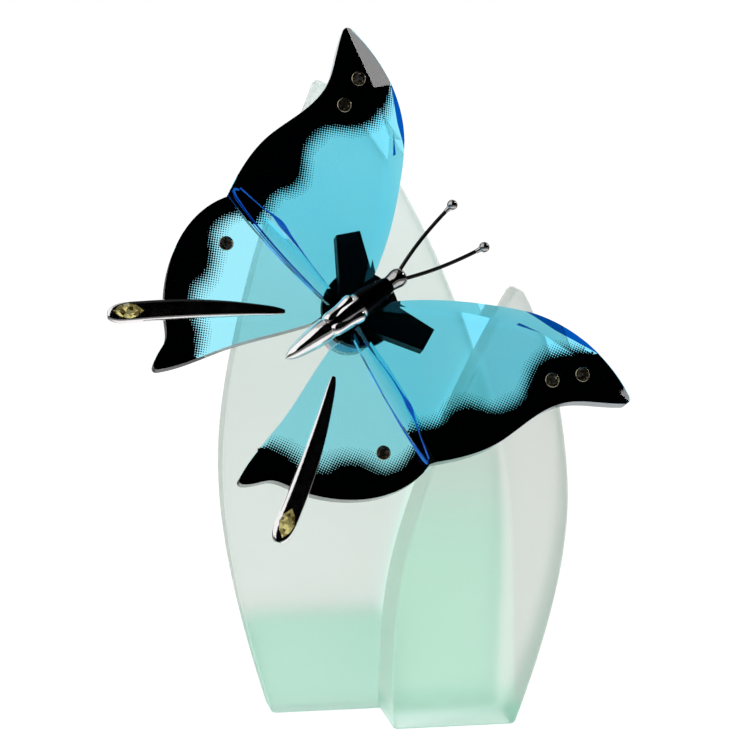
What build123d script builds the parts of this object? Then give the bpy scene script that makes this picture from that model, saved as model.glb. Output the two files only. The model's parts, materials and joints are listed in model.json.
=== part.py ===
from build123d import *
import math
import os

# Butterfly ornament: a crystal butterfly turning on a peg, in front of two upright frosted glass leaves.
# The leaves stand parallel to the XZ plane, with their show sides towards -Y.
# The origin is the middle of the tall leaf's foot. Lengths are millimetres, angles are degrees.

# Fits and cuts
cut_overrun = 8
seat_clearance = 0.05
running_clearance = 0.05
wing_gap = 0.25
glue_line = 0.1

# Tall glass leaf
tall_leaf_height = 128.3
tall_leaf_width = 56.5
tall_leaf_thickness = 8
leaf_tip_radius = 1.2
leaf_foot_radius = 1.2
leaf_rounding = 0.5

# Outlines of the leaves as shares of their width and height, from foot to tip and down again
tall_left_shares = [(-0.40, 0), (-0.51, 0.18), (-0.57, 0.41), (-0.52, 0.58), (-0.405, 0.77), (-0.216, 1)]
tall_right_shares = [(-0.216, 1), (0.08, 0.823), (0.255, 0.66), (0.415, 0.40), (0.428, 0.28), (0.405, 0)]

# Short glass leaf, a wedge that thins towards its tip
short_leaf_height = 87.3
short_leaf_width = 36.6
short_leaf_foot_thickness = 16
short_leaf_tip_thickness = 7
short_leaf_offset = -0.8
short_left_shares = [(0, 0), (0.01, 0.14), (0.05, 0.31), (0.20, 0.53), (0.44, 0.77), (0.745, 1)]
short_right_shares = [(0.745, 1), (0.865, 0.89), (0.98, 0.66), (1.0, 0.52), (0.93, 0.31), (0.68, 0)]

# Rear foot, a low glass block behind the tall leaf
rear_foot_height = 19
rear_foot_depth = 8
rear_foot_width = 54.2
rear_foot_draft = 4
rear_foot_sink = 3
rear_foot_right = 3.4
rear_foot_rounding = 3
rear_edge_rounding = 1.2

# Peg mount on the tall leaf
mount_across = -7.3
mount_height = 78.3
peg_tilt = 20
plate_radius = 5.4
plate_thickness = 2.5
plate_chamfer = 0.7
boss_radius = 4
boss_reach = 6
post_radius = 2.0
post_bite = 3.5
post_reach = 3.4
collar_length = 4.1
sleeve_radius = 3.0
sleeve_length = 6.8

# Butterfly place on the peg
heading = 56
axis_ahead = 5.5

# Wing plates
forewing_thickness = 4.3
hindwing_thickness = 3.5
forewing_reach = 45.7
forewing_rise = 35.8
forewing_tip_radius = 1.25
hindwing_tip_radius = 0.8
leading_bevel_angle = 28
rear_bevel_angle = 60
hindwing_reach = 33.5
hindwing_length = 36.9

# Forewing outline as shares of the reach outside the root and of the rise ahead of the wing origin
leading_shares = [
    (0, 0.27),
    (0.10, 0.46),
    (0.26, 0.69),
    (0.50, 0.938),
    (0.70, 1.022),
    (0.88, 1.03),
    (1.012, 0.995),
]
margin_shares = [
    (1.012, 0.995),
    (0.92, 0.85),
    (0.825, 0.69),
    (0.795, 0.52),
    (0.79, 0.25),
    (0.725, 0),
    (0.685, -0.095),
]
rear_edge_shares = [(0.685, -0.095), (0.38, -0.07), (0, 0)]

# Inner lines of the forewing's bevels, on its top
leading_bevel_shares = [(0.985, 0.982), (0.697, 0.905), (0.465, 0.80), (0.245, 0.565), (0.06, 0.31)]
rear_bevel_shares = [(0.665, -0.065), (0.08, 0.025)]

# Hindwing outline as shares of the reach outside the root and of the length behind the front edge
hind_front_shares = [(0, 0), (0.50, 0.015), (0.945, 0.09)]
hind_margin_shares = [
    (0.945, 0.09),
    (0.982, 0.275),
    (0.945, 0.42),
    (0.80, 0.62),
    (0.55, 0.79),
    (0.455, 0.845),
    (0.41, 0.92),
    (0.34, 1),
]
hind_inner_shares = [(0.34, 1), (0.285, 0.90), (0.19, 0.615), (0.06, 0.32), (0, 0.18)]

# Carrier under the forewing roots
carrier_reach = 13.9
carrier_front = 10.2
carrier_rear = 3.1
arm_tip_front = 13.6
arm_tip_rear = 9.3
arm_front_share = 0.86
carrier_waist = 9.2
carrier_neck = 6.6
hindwing_set_back = 1.2

# Socket disc behind the carrier
socket_radius = 7.6
socket_thickness = 2.2
neck_radius = 4.3
socket_roof = 0.9
screw_across = 5.4
screw_ahead = 7.75
screw_radius = 0.7
screw_bite = 2.2
screw_head_radius = 1.3
screw_head_height = 1.0
screw_slot_width = 0.4
screw_slot_depth = 0.45

# Metal body
body_lift = 0.4
thorax_rear = -3.0
thorax_front = 11.0
thorax_radius = 2.75
thorax_rear_radius = 2.35
thorax_front_radius = 1.55
pedestal_width = 4.4
lobe_rear = -4.2
lobe_front = 3.4
lobe_rear_across = 0.95
lobe_front_across = 1.75
lobe_lift = 1.15
lobe_radius = 1.25
abdomen_tail = -14.2
abdomen_radius = 2.2
head_front = 14.8
head_radius = 1.9

# Abdomen's profile from its tail to the thorax, as shares of its length and radius
abdomen_shares = [(0, 0), (0.09, 0.36), (0.35, 0.74), (0.7, 1), (1, 0.94)]

# Antennae
antenna_wire_radius = 0.38
antenna_rise = 8
antenna_length = 17.1
antenna_spread = 5.1
antenna_knob_radius = 1.05
antenna_collar_length = 1.9
antenna_collar_radius = 0.62
antenna_shares = [(0.13, 0.035), (0.45, 0.29), (0.71, 0.56), (1, 1)]

# Metal tails lying on the hindwings
tail_point_across = 7.8
tail_point_behind = 7.6
tail_across = 27.0
tail_behind = 35.6
tail_bow = 0.85
tail_height = 1.9
tail_half_width = 2.1

# Place along the tail, half width and height of its sections, from its point to its gem end
tail_shares = [
    (0, 0.2, 0.25),
    (0.03, 0.34, 0.42),
    (0.125, 0.52, 0.6),
    (0.28, 0.72, 0.76),
    (0.5, 0.9, 0.9),
    (0.7, 0.98, 0.97),
    (0.88, 1, 1),
    (0.96, 0.82, 0.9),
    (1, 0.36, 0.5),
]

# Marquise gems in the tails
gem_length = 5.9
gem_width = 3.0
gem_girdle = 0.5
gem_crown = 0.6
gem_seat_height = 1.1
gem_place_share = 0.886
gem_table_share = 0.55
gem_half_shares = [(0.5, 0), (0.27, 0.36), (0, 0.5), (-0.27, 0.36)]

# Round stones sunk in the wings
stone_radius = 1.35
stone_girdle = 0.7
stone_crown = 0.5
stone_seat_depth = 0.7
stone_sides = 12
stone_table_share = 0.6

# Places of the stones as shares, like the outline of the wing that holds each
tip_stone_shares = [(0.7705, 0.868)]
margin_stone_shares = [(0.7096, 0.714)]
hind_stone_shares = [(0.7246, 0.287)]

# Planes and levels
leaf_front = Plane.XZ.offset(tall_leaf_thickness / 2)
leaf_rear = Plane.XZ.offset(-tall_leaf_thickness / 2)
short_leaf_back = leaf_front.offset(glue_line)
rear_foot_front = leaf_rear.offset(-glue_line)
mount_plane = Plane(leaf_front.from_local_coords((mount_across, mount_height, 0)), z_dir=leaf_front.z_dir)
peg_lean = math.radians(peg_tilt)
peg_plane = Plane(mount_plane.origin, x_dir=(1, 0, 0), z_dir=(0, -math.cos(peg_lean), math.sin(peg_lean)))
peg_axis = Axis(peg_plane.origin, peg_plane.z_dir)
socket_depth = sleeve_length + running_clearance + socket_roof
post_start = boss_reach - post_bite
neck_end = boss_reach + collar_length
socket_top = neck_end + socket_depth
deck = socket_top + hindwing_thickness
wing_level = deck + forewing_thickness
head_turn = math.radians(heading)
head_dir = peg_plane.x_dir * math.sin(head_turn) + peg_plane.y_dir * math.cos(head_turn)
span_dir = peg_plane.x_dir * math.cos(head_turn) - peg_plane.y_dir * math.sin(head_turn)
wing_plane = Plane(
    peg_plane.from_local_coords((0, 0, wing_level)) - head_dir * axis_ahead,
    x_dir=span_dir,
    z_dir=peg_plane.z_dir,
)
body_plane = Plane(wing_plane.from_local_coords((0, 0, body_lift)), x_dir=head_dir, z_dir=span_dir)
mirror_plane = Plane(wing_plane.origin, x_dir=head_dir, z_dir=span_dir)
body_axis = Axis(body_plane.origin, body_plane.x_dir)
wing_root = thorax_radius + wing_gap
hindwing_front = carrier_rear - hindwing_set_back
hindwing_plane = wing_plane.offset(-forewing_thickness)
socket_plane = hindwing_plane.offset(-hindwing_thickness)

os.makedirs("parts", exist_ok=True)


def save(piece, name):
    """Labels a finished piece and writes its file."""
    piece.part.label = name
    export_step(piece.part, f"parts/{name}.step")


def placed(shares, width, height, across=0, up=0):
    """Points of an outline from shares of a width and a height."""
    return [(across + x * width, up + y * height) for x, y in shares]


def leaf_face(left_points, right_points):
    """Closed leaf outline with a rounded tip and foot corners, as a face."""
    with BuildSketch(Plane.XY) as leaf:
        with BuildLine():
            Spline(left_points)
            Spline(right_points)
            Line(right_points[-1], left_points[0])
        make_face()
        fillet(leaf.vertices().sort_by(Axis.Y)[-1], leaf_tip_radius)
        fillet(leaf.vertices().sort_by(Axis.Y)[:2], leaf_foot_radius)
    return leaf.sketch


def forewing_points(shares):
    return placed(shares, forewing_reach - wing_root, forewing_rise, wing_root)


def hindwing_points(shares):
    return placed(shares, hindwing_reach - wing_root, -hindwing_length, wing_root, hindwing_front)


def bevel_plane(inner, outer, angle):
    """Plane through a line on the forewing's top, falling away to the left of its direction."""
    run = Vector(outer[0] - inner[0], outer[1] - inner[1]).normalized()
    outward = Vector(-run.Y, run.X)
    lean = math.radians(angle)
    normal = outward * math.sin(lean) + Vector(0, 0, math.cos(lean))
    start = wing_plane.from_local_coords(Vector(*inner, 0))
    ahead = wing_plane.from_local_coords(Vector(*inner, 0) + normal)
    return Plane(start, z_dir=ahead - start)


# Tall leaf
tall_leaf_face = leaf_face(
    placed(tall_left_shares, tall_leaf_width, tall_leaf_height),
    placed(tall_right_shares, tall_leaf_width, tall_leaf_height),
)
with BuildPart() as tall_leaf:
    with BuildSketch(Plane.XZ):
        add(tall_leaf_face)
    extrude(amount=tall_leaf_thickness / 2, both=True)
    fillet(tall_leaf.faces().filter_by(Axis.Y).edges(), leaf_rounding)
save(tall_leaf, "tall_leaf")

# Short leaf
short_leaf_face = leaf_face(
    placed(short_left_shares, short_leaf_width, short_leaf_height, short_leaf_offset),
    placed(short_right_shares, short_leaf_width, short_leaf_height, short_leaf_offset),
)
with BuildPart() as short_leaf:
    with BuildSketch(short_leaf_back):
        add(short_leaf_face)
    extrude(amount=short_leaf_foot_thickness)
    wedge_plane = Plane(
        short_leaf_back.from_local_coords((0, 0, short_leaf_foot_thickness)),
        x_dir=(1, 0, 0),
        z_dir=(0, -short_leaf_height, short_leaf_foot_thickness - short_leaf_tip_thickness),
    )
    split(bisect_by=wedge_plane, keep=Keep.BOTTOM)
    fillet(short_leaf.faces().sort_by(Axis.Y)[0].edges(), leaf_rounding)
save(short_leaf, "short_leaf")

# Rear foot, whose flanks follow the tall leaf and draw in towards its back
rear_foot_face = leaf_face(
    placed(tall_left_shares, rear_foot_width, tall_leaf_height),
    placed(tall_right_shares, rear_foot_width, tall_leaf_height),
).moved(Location((0, -rear_foot_sink, 0)))
with BuildPart() as rear_foot:
    with BuildSketch(rear_foot_front) as rear_foot_outline:
        add(rear_foot_face)
        with Locations((0, rear_foot_height)):
            Rectangle(
                tall_leaf_width * 2,
                tall_leaf_height * 2,
                align=(Align.CENTER, Align.MIN),
                mode=Mode.SUBTRACT,
            )
        with Locations((rear_foot_right, 0)):
            Rectangle(
                tall_leaf_width * 2,
                tall_leaf_height * 2,
                align=(Align.MIN, Align.CENTER),
                mode=Mode.SUBTRACT,
            )
        fillet(rear_foot_outline.vertices().sort_by(Axis.Y)[-2:], rear_foot_rounding)
    extrude(amount=-rear_foot_depth, taper=rear_foot_draft)
    split(bisect_by=Plane.XY, keep=Keep.TOP)
    fillet(rear_foot.faces().sort_by(Axis.Y)[-1].edges(), rear_edge_rounding)
save(rear_foot, "rear_foot")

# Mount plate on the glass, with a slanted boss for the post
with BuildPart() as mount_plate:
    with BuildSketch(mount_plane):
        Circle(plate_radius)
    extrude(amount=plate_thickness)
    chamfer(mount_plate.faces().sort_by(Axis.Y)[0].edges(), plate_chamfer)
    with BuildSketch(peg_plane.offset(-boss_radius)):
        Circle(boss_radius)
    extrude(amount=boss_reach + boss_radius)
    split(bisect_by=mount_plane, keep=Keep.TOP)
    with BuildSketch(peg_plane.offset(post_start)):
        Circle(post_radius)
    extrude(amount=boss_reach + cut_overrun, mode=Mode.SUBTRACT)
save(mount_plate, "mount_plate")

# Post pressed in the boss
with BuildPart() as mount_post:
    with BuildSketch(peg_plane.offset(post_start)):
        Circle(post_radius)
    extrude(amount=post_bite + post_reach)
    chamfer(mount_post.edges().sort_by(peg_axis)[-1], post_radius / 5)
save(mount_post, "mount_post")

# Friction sleeve, whose collar turns on the post
with BuildPart() as friction_sleeve:
    with BuildSketch(peg_plane.offset(boss_reach)):
        Circle(boss_radius)
    extrude(amount=collar_length)
    with BuildSketch(peg_plane.offset(neck_end)):
        Circle(sleeve_radius)
    extrude(amount=sleeve_length)
    with BuildSketch(peg_plane.offset(boss_reach - cut_overrun)):
        Circle(post_radius + running_clearance)
    extrude(amount=post_reach + running_clearance + cut_overrun, mode=Mode.SUBTRACT)
save(friction_sleeve, "friction_sleeve")

# Socket disc and neck that slip over the sleeve
with BuildPart() as mount_socket:
    with BuildSketch(peg_plane.offset(socket_top - socket_thickness)):
        Circle(socket_radius)
    extrude(amount=socket_thickness)
    with BuildSketch(peg_plane.offset(neck_end)):
        Circle(neck_radius)
    extrude(amount=socket_depth)
    with BuildSketch(peg_plane.offset(neck_end - cut_overrun)):
        Circle(sleeve_radius + running_clearance)
    extrude(amount=socket_depth - socket_roof + cut_overrun, mode=Mode.SUBTRACT)
    with BuildSketch(socket_plane.offset(-socket_thickness - cut_overrun)):
        with Locations((screw_across, screw_ahead), (-screw_across, screw_ahead)):
            Circle(screw_radius + seat_clearance)
    extrude(amount=socket_thickness + cut_overrun * 2, mode=Mode.SUBTRACT)
save(mount_socket, "mount_socket")

# Carrier plate with an arm under each forewing root
with BuildPart() as wing_carrier:
    with BuildSketch(socket_plane):
        with BuildLine():
            Polyline(
                (0, carrier_front),
                (carrier_neck / 2, carrier_front),
                (carrier_reach * arm_front_share, arm_tip_front),
                (carrier_reach, arm_tip_rear),
                (carrier_waist / 2, carrier_rear),
                (0, carrier_rear),
            )
            mirror(about=Plane.YZ)
        make_face()
    extrude(amount=hindwing_thickness)
    with BuildSketch(socket_plane.offset(-cut_overrun)):
        with Locations((screw_across, screw_ahead), (-screw_across, screw_ahead)):
            Circle(screw_radius)
    extrude(amount=screw_bite + cut_overrun, mode=Mode.SUBTRACT)
save(wing_carrier, "wing_carrier")

# Two screws from the socket disc into the carrier
with BuildPart() as carrier_screws:
    screw_places = ((screw_across, screw_ahead), (-screw_across, screw_ahead))
    with BuildSketch(socket_plane.offset(-socket_thickness)):
        with Locations(*screw_places):
            Circle(screw_radius)
    extrude(amount=socket_thickness + screw_bite)
    with BuildSketch(socket_plane.offset(-socket_thickness)):
        with Locations(*screw_places):
            Circle(screw_head_radius)
    extrude(amount=-screw_head_height)
    with BuildSketch(socket_plane.offset(-socket_thickness - screw_head_height)):
        with Locations(*screw_places):
            Rectangle(screw_head_radius * 3, screw_slot_width)
    extrude(amount=screw_slot_depth, mode=Mode.SUBTRACT)
save(carrier_screws, "carrier_screws")

# Lobe on the thorax, which reaches back over the abdomen
lobe_start = body_plane.from_local_coords((lobe_rear, lobe_lift, lobe_rear_across))
lobe_end = body_plane.from_local_coords((lobe_front, lobe_lift, lobe_front_across))
lobe_run = lobe_end - lobe_start
lobe_plane = Plane(lobe_start, x_dir=lobe_run, z_dir=wing_plane.z_dir)
with BuildPart() as thorax_lobe:
    with BuildSketch(lobe_plane):
        with BuildLine():
            Spline(
                (0, 0),
                (lobe_run.length / 2, lobe_radius),
                (lobe_run.length, 0),
                tangents=((0, 1), (0, -1)),
            )
            Line((lobe_run.length, 0), (0, 0))
        make_face()
    revolve(axis=Axis(lobe_start, lobe_run))

# Thorax on a pedestal between the wing roots
with BuildPart() as thorax:
    with BuildSketch(body_plane):
        with BuildLine():
            Spline(
                (thorax_rear, thorax_rear_radius),
                ((thorax_rear + thorax_front) / 2, thorax_radius),
                (thorax_front, thorax_front_radius),
            )
            Polyline(
                (thorax_front, thorax_front_radius),
                (thorax_front, 0),
                (thorax_rear, 0),
                (thorax_rear, thorax_rear_radius),
            )
        make_face()
    revolve(axis=body_axis)
    with BuildSketch(hindwing_plane):
        with Locations((0, (carrier_front + carrier_rear) / 2)):
            Rectangle(pedestal_width, carrier_front - carrier_rear)
    extrude(amount=forewing_thickness + body_lift)
    add(thorax_lobe.part)
    add(thorax_lobe.part.mirror(mirror_plane))
save(thorax, "thorax")

# Abdomen butted on the thorax
abdomen_points = placed(abdomen_shares, thorax_rear - abdomen_tail, abdomen_radius, abdomen_tail)
with BuildPart() as abdomen:
    with BuildSketch(body_plane):
        with BuildLine():
            Spline(abdomen_points)
            Polyline(abdomen_points[-1], (thorax_rear, 0), abdomen_points[0])
        make_face()
    revolve(axis=body_axis)
    add(thorax_lobe.part, mode=Mode.SUBTRACT)
    add(thorax_lobe.part.mirror(mirror_plane), mode=Mode.SUBTRACT)
save(abdomen, "abdomen")

# Antennae, each a bent wire in a plane that rises from the head
head_middle = (thorax_front + head_front) / 2
antenna_lean = math.radians(antenna_rise)
antenna_plane = Plane(
    wing_plane.from_local_coords((0, head_middle, body_lift)),
    x_dir=span_dir,
    z_dir=wing_plane.z_dir * math.cos(antenna_lean) - head_dir * math.sin(antenna_lean),
)
antenna_points = placed(antenna_shares, antenna_spread, antenna_length)
with BuildPart() as antenna:
    with BuildLine(antenna_plane) as antenna_path:
        lower_bend = ThreePointArc(*antenna_points[:3])
        TangentArc(antenna_points[2], antenna_points[3], tangent=lower_bend % 1)
    with BuildSketch(Plane(antenna_path.wire() @ 0, z_dir=antenna_path.wire() % 0)):
        Circle(antenna_wire_radius)
    sweep(path=antenna_path.wire())
knob_plane = Plane(antenna_path.wire() @ 1, z_dir=antenna_path.wire() % 1)
with BuildPart() as antenna_knob:
    with Locations(knob_plane):
        Sphere(antenna_knob_radius)
    with Locations(knob_plane.offset(-antenna_collar_length)):
        Cone(
            antenna_wire_radius + seat_clearance,
            antenna_collar_radius,
            antenna_collar_length,
            align=(Align.CENTER, Align.CENTER, Align.MIN),
        )
    add(antenna.part, mode=Mode.SUBTRACT)

# Head, drilled for both antennae
with BuildPart() as head:
    with BuildSketch(body_plane):
        with BuildLine():
            Spline(
                (thorax_front, thorax_front_radius),
                (head_middle, head_radius),
                (head_front, 0),
                tangents=((1, head_radius / head_front), (0, -1)),
            )
            Polyline((head_front, 0), (thorax_front, 0), (thorax_front, thorax_front_radius))
        make_face()
    revolve(axis=body_axis)
    add(antenna.part, mode=Mode.SUBTRACT)
    add(antenna.part.mirror(mirror_plane), mode=Mode.SUBTRACT)
save(head, "head")

# Forewing, a thick crystal with bevelled leading and rear edges
with BuildPart() as forewing:
    with BuildSketch(hindwing_plane.offset(glue_line)) as forewing_face:
        with BuildLine():
            Spline(forewing_points(leading_shares))
            Spline(forewing_points(margin_shares))
            ThreePointArc(*forewing_points(rear_edge_shares))
            Line(forewing_points(rear_edge_shares)[-1], forewing_points(leading_shares)[0])
        make_face()
        fillet(forewing_face.vertices().sort_by(Axis.X)[-1], forewing_tip_radius)
    extrude(amount=forewing_thickness - glue_line)
    bevel_points = forewing_points(leading_bevel_shares)
    for outer, inner in zip(bevel_points, bevel_points[1:]):
        split(bisect_by=bevel_plane(inner, outer, leading_bevel_angle), keep=Keep.BOTTOM)
    split(bisect_by=bevel_plane(*forewing_points(rear_bevel_shares), rear_bevel_angle), keep=Keep.BOTTOM)
    with BuildSketch(wing_plane.offset(-stone_seat_depth)):
        with Locations(*forewing_points(tip_stone_shares + margin_stone_shares)):
            Circle(stone_radius + seat_clearance)
    extrude(amount=stone_seat_depth + cut_overrun, mode=Mode.SUBTRACT)

# Hindwing, a thinner crystal under the forewing's rear edge
with BuildPart() as hindwing:
    with BuildSketch(socket_plane) as hindwing_face:
        with BuildLine():
            ThreePointArc(*hindwing_points(hind_front_shares))
            Spline(hindwing_points(hind_margin_shares))
            Spline(hindwing_points(hind_inner_shares))
            Line(hindwing_points(hind_inner_shares)[-1], hindwing_points(hind_front_shares)[0])
        make_face()
        fillet(hindwing_face.vertices().sort_by(Axis.Y)[0], hindwing_tip_radius)
    extrude(amount=hindwing_thickness)
    with BuildSketch(hindwing_plane.offset(-stone_seat_depth)):
        with Locations(*hindwing_points(hind_stone_shares)):
            Circle(stone_radius + seat_clearance)
    extrude(amount=stone_seat_depth + cut_overrun, mode=Mode.SUBTRACT)

# Metal tail, a teardrop bar with a pocket for its gem
tail_start = hindwing_plane.from_local_coords((tail_point_across, -tail_point_behind, 0))
tail_end = hindwing_plane.from_local_coords((tail_across, -tail_behind, 0))
tail_run = tail_end - tail_start
tail_plane = Plane(tail_start, x_dir=tail_run, z_dir=hindwing_plane.z_dir)
tail_length = tail_run.length
gem_sideways = tail_bow * 4 * gem_place_share * (1 - gem_place_share)
gem_plane = Plane(
    tail_plane.from_local_coords((gem_place_share * tail_length, gem_sideways, gem_seat_height)),
    x_dir=tail_run,
    z_dir=hindwing_plane.z_dir,
)
gem_shares = gem_half_shares + [(-x, -y) for x, y in gem_half_shares]
gem_outline = placed(gem_shares, gem_length, gem_width)
with BuildPart() as tail:
    for place_share, width_share, height_share in tail_shares:
        half_width = tail_half_width * width_share
        height = tail_height * height_share
        sideways = tail_bow * 4 * place_share * (1 - place_share)
        section_middle = tail_start + tail_run * place_share + tail_plane.y_dir * sideways
        with BuildSketch(Plane(section_middle, x_dir=tail_plane.y_dir, z_dir=tail_run)):
            with BuildLine():
                Line((-half_width, 0), (half_width, 0))
                ThreePointArc((half_width, 0), (0, height), (-half_width, 0))
            make_face()
    loft()
    with BuildSketch(gem_plane):
        Polygon(*gem_outline, align=None)
        offset(amount=seat_clearance, kind=Kind.INTERSECTION)
    extrude(amount=tail_height + cut_overrun, mode=Mode.SUBTRACT)

# Faceted marquise gem with a flat back
with BuildPart() as tail_gem:
    with BuildSketch(gem_plane):
        Polygon(*gem_outline, align=None)
    extrude(amount=gem_girdle)
    with BuildSketch(gem_plane.offset(gem_girdle)):
        Polygon(*gem_outline, align=None)
    with BuildSketch(gem_plane.offset(gem_girdle + gem_crown)):
        Polygon(*gem_outline, align=None)
        scale(by=gem_table_share)
    loft(ruled=True)


def round_stone(top_plane, places):
    """Faceted round stone with a flat back, standing on the floor of its seat."""
    seat_plane = top_plane.offset(-stone_seat_depth)
    with BuildPart() as stone:
        with BuildSketch(seat_plane):
            with Locations(*places):
                RegularPolygon(stone_radius, stone_sides)
        extrude(amount=stone_girdle)
        with BuildSketch(seat_plane.offset(stone_girdle)):
            with Locations(*places):
                RegularPolygon(stone_radius, stone_sides)
        with BuildSketch(seat_plane.offset(stone_girdle + stone_crown)):
            with Locations(*places):
                RegularPolygon(stone_radius * stone_table_share, stone_sides)
        loft(ruled=True)
    return stone


tip_stone = round_stone(wing_plane, forewing_points(tip_stone_shares))
margin_stone = round_stone(wing_plane, forewing_points(margin_stone_shares))
hind_stone = round_stone(hindwing_plane, hindwing_points(hind_stone_shares))

# Right-hand pieces and their mirror images on the left
paired_pieces = {
    "antenna": antenna,
    "antenna_knob": antenna_knob,
    "forewing": forewing,
    "hindwing": hindwing,
    "tail": tail,
    "tail_gem": tail_gem,
    "tip_stone": tip_stone,
    "margin_stone": margin_stone,
    "hind_stone": hind_stone,
}
for name, right_piece in paired_pieces.items():
    save(right_piece, f"{name}_right")
    with BuildPart() as left_piece:
        mirror(right_piece.part, about=mirror_plane)
    save(left_piece, f"{name}_left")
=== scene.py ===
import json
import math

import bmesh
import bpy
from mathutils import Matrix, Vector
from mathutils.geometry import tessellate_polygon


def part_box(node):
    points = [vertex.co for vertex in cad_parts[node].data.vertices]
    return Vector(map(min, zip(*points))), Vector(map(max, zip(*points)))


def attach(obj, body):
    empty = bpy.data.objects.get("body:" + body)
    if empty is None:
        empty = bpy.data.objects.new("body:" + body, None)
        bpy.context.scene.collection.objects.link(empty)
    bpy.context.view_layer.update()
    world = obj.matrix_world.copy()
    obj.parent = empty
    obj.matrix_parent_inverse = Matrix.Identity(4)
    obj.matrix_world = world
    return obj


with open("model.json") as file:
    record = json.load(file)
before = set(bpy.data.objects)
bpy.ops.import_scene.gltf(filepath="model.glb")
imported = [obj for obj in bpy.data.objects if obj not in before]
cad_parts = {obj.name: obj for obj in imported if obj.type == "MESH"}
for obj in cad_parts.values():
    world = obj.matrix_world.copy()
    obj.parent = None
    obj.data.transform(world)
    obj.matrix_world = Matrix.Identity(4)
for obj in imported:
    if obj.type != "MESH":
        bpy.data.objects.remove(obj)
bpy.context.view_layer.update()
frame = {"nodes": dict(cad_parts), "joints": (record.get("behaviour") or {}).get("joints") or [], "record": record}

# Crystal butterfly on a peg in front of two frosted glass leaves. Lengths are metres.
MM = 0.001

# Wing sheet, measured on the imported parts: span to the right wing, ahead to the head, up out of the wings
swivel = next(joint for joint in frame["joints"] if joint["name"] == "butterfly_swivel")
peg_up = Vector(swivel["axis"]).normalized()
pivot = Vector(swivel["pos_m"])


def middle(node):
    """Middle of a CAD node's box."""
    low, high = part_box(node)
    return (low + high) / 2


def heights(node):
    """Lowest and highest place of a CAD node along the peg."""
    levels = [(v.co - pivot).dot(peg_up) for v in frame["nodes"][node].data.vertices]
    return min(levels), max(levels)


body_line = middle("head") - middle("abdomen")
ahead = (body_line - peg_up * body_line.dot(peg_up)).normalized()
span = ahead.cross(peg_up)
axis_ahead = 5.5 * MM
forewing_floor, forewing_top = heights("forewing_right")
hindwing_floor, hindwing_top = heights("hindwing_right")
wing_origin = pivot + peg_up * forewing_top - ahead * axis_ahead
wing_sheet = Matrix.Translation(wing_origin) @ Matrix((span, ahead, peg_up)).transposed().to_4x4()
to_wing_sheet = wing_sheet.inverted()


# Node helpers
def add_node(tree, kind, inputs=None, **settings):
    """Adds a node, sets its settings, and sets or links its inputs."""
    node = tree.nodes.new(kind)
    for key, value in settings.items():
        setattr(node, key, value)
    for key, value in (inputs or {}).items():
        if isinstance(value, bpy.types.NodeSocket):
            tree.links.new(value, node.inputs[key])
        else:
            node.inputs[key].default_value = value
    return node


def math_value(tree, operation, *values, clamp=False):
    """Result of a Math node."""
    node = add_node(tree, "ShaderNodeMath", dict(enumerate(values)), operation=operation, use_clamp=clamp)
    return node.outputs["Value"]


def smooth_step(tree, value, start, end, first=0.0, last=1.0):
    """Value that eases from first to last while another goes from start to end."""
    node = add_node(
        tree,
        "ShaderNodeMapRange",
        {"Value": value, "From Min": start, "From Max": end, "To Min": first, "To Max": last},
        interpolation_type="SMOOTHSTEP",
    )
    return node.outputs["Result"]


def start_group(name, kind, inputs, outputs, output_kind="NodeSocketFloat"):
    """Starts a node group. An input is given by its kind of socket, or as a float by its default."""
    tree = bpy.data.node_groups.new(name, kind)
    for label, given in inputs.items():
        is_kind = isinstance(given, str)
        socket_kind = given if is_kind else "NodeSocketFloat"
        socket = tree.interface.new_socket(label, in_out="INPUT", socket_type=socket_kind)
        if not is_kind:
            socket.default_value = given
    for label in outputs:
        tree.interface.new_socket(label, in_out="OUTPUT", socket_type=output_kind)
    entry = tree.nodes.new("NodeGroupInput").outputs
    leave = tree.nodes.new("NodeGroupOutput").inputs
    return tree, entry, leave


def on_wing_sheet(tree, place):
    """Object coordinates turned to the wing sheet's, as split outputs."""
    sheet = add_node(
        tree,
        "ShaderNodeMapping",
        {"Vector": place, "Location": wing_origin, "Rotation": wing_sheet.to_euler()},
        vector_type="TEXTURE",
    )
    return add_node(tree, "ShaderNodeSeparateXYZ", {"Vector": sheet.outputs["Vector"]}).outputs


def make_mottle_group():
    """Soft cloudy value between Low and High."""
    inputs = {"Vector": "NodeSocketVector", "Scale": 300.0, "Low": 0.0, "High": 1.0}
    tree, entry, leave = start_group("mottle", "ShaderNodeTree", inputs, ["Value"])
    cloud = add_node(
        tree,
        "ShaderNodeTexNoise",
        {"Vector": entry["Vector"], "Scale": entry["Scale"], "Detail": 4.0, "Roughness": 0.6},
    )
    spread = add_node(
        tree,
        "ShaderNodeMapRange",
        {
            "Value": cloud.outputs["Fac"],
            "From Min": 0.32,
            "From Max": 0.68,
            "To Min": entry["Low"],
            "To Max": entry["High"],
        },
    )
    tree.links.new(spread.outputs["Result"], leave["Value"])
    return tree


def make_grain_group():
    """Height of a fine grain lying on a slower swell."""
    inputs = {"Vector": "NodeSocketVector", "Grain Scale": 3000.0, "Swell Scale": 200.0, "Swell Share": 0.5}
    tree, entry, leave = start_group("grain", "ShaderNodeTree", inputs, ["Height"])
    noises = []
    for scale, detail in ((entry["Grain Scale"], 2.0), (entry["Swell Scale"], 1.0)):
        settings = {"Vector": entry["Vector"], "Scale": scale, "Detail": detail}
        noises.append(add_node(tree, "ShaderNodeTexNoise", settings).outputs["Fac"])
    fine, slow = noises
    tree.links.new(math_value(tree, "MULTIPLY_ADD", slow, entry["Swell Share"], fine), leave["Height"])
    return tree


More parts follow.
